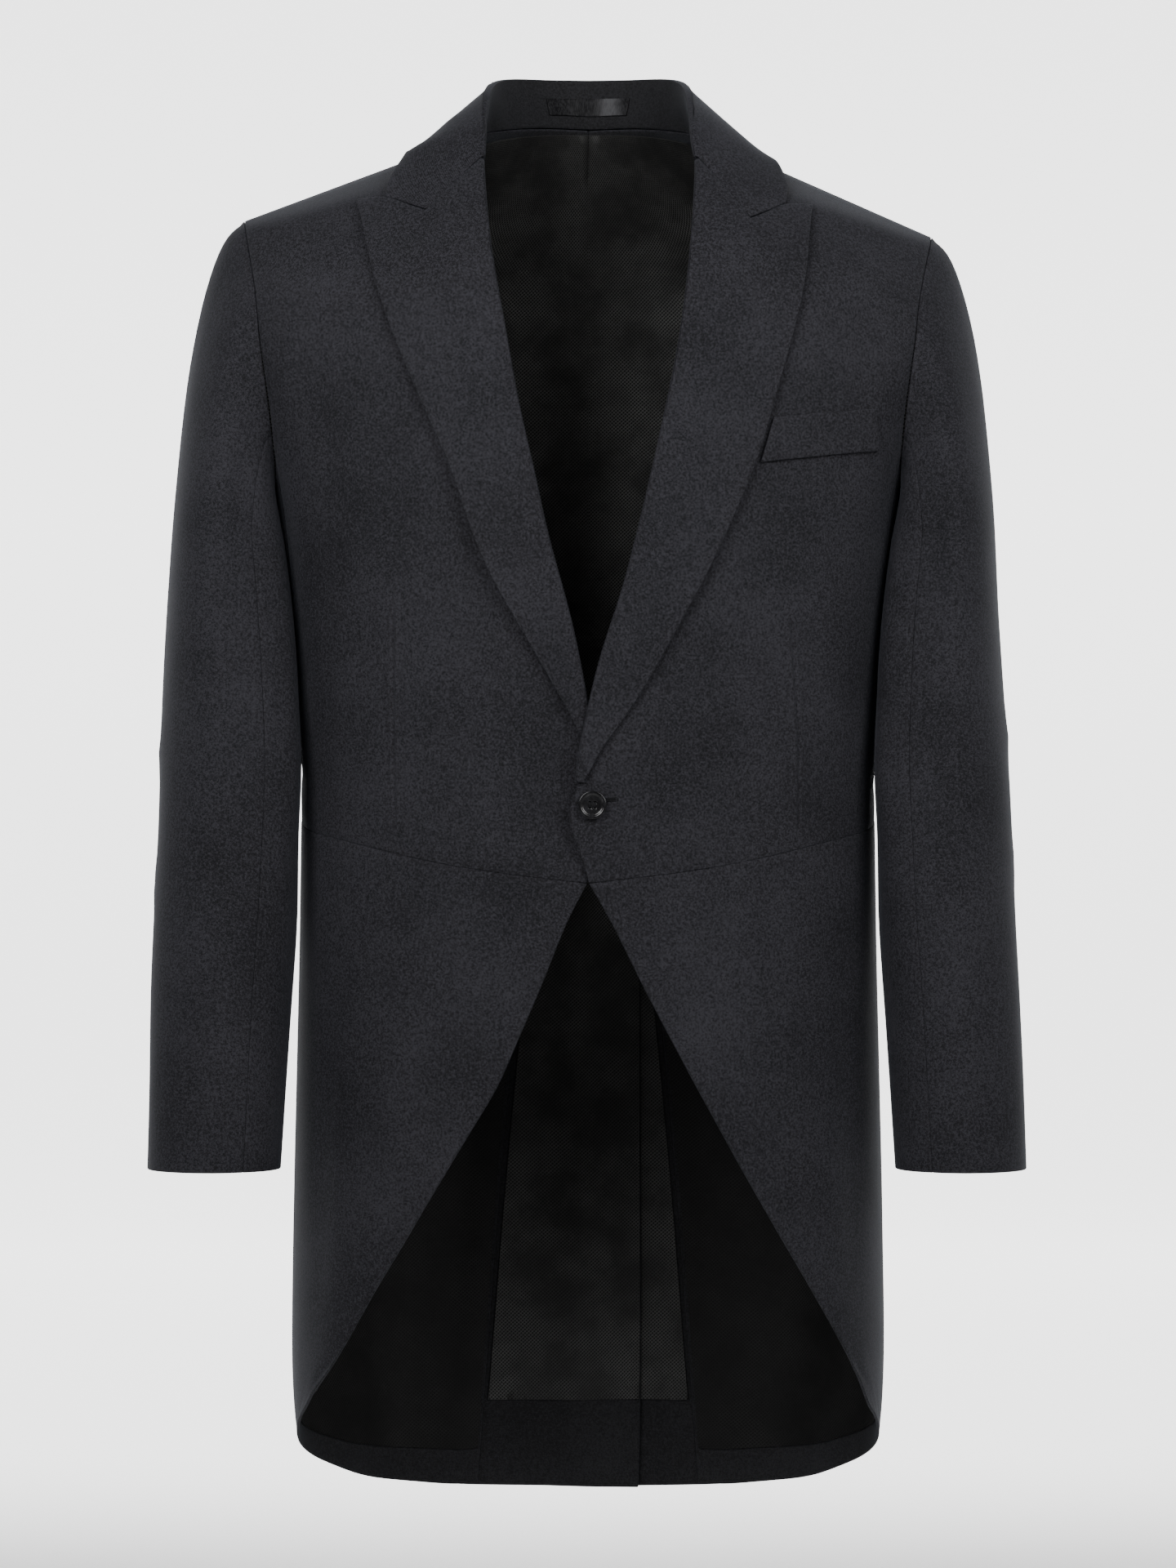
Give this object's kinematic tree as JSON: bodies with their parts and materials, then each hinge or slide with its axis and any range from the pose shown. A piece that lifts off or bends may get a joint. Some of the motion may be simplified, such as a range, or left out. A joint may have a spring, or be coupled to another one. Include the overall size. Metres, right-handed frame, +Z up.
{
  "type": "morning coat",
  "caption": "Tailored morning coat with peak lapels, a one-button front, a cutaway skirt and tails, in the hollow form it has when worn.",
  "frame": {"origin": "midway between the two side neck points, at mid depth, where the wearer's shoulders hold the coat", "axes": "+X to the wearer's left, -Y to the wearer's front, +Z up along the body"},
  "size_m": [0.6015, 0.2616, 1.0104],
  "materials": {
    "coat_cloth": "matte fine worsted wool twill",
    "lining": "smooth lining twill with a soft sheen",
    "buttons": "gloss black, four holes",
    "loop": "satin"
  },
  "bodies": {
    "root": {"forepart_left": "coat_cloth", "forepart_right": "coat_cloth", "side_body_left": "coat_cloth", "side_body_right": "coat_cloth", "back_left": "coat_cloth", "back_right": "coat_cloth", "skirt_left": "coat_cloth", "skirt_right": "coat_cloth", "lapel_left": "coat_cloth", "lapel_right": "coat_cloth", "collar": "coat_cloth", "topsleeve_left": "coat_cloth", "topsleeve_right": "coat_cloth", "undersleeve_left": "coat_cloth", "undersleeve_right": "coat_cloth", "breast_welt": "coat_cloth", "lining_back_left": "lining", "lining_back_right": "lining", "lining_skirt_left": "lining", "lining_skirt_right": "lining", "front_button": "buttons", "waist_button_left": "buttons", "waist_button_right": "buttons", "hanger_loop": "loop"}
  },
  "joints": []
}
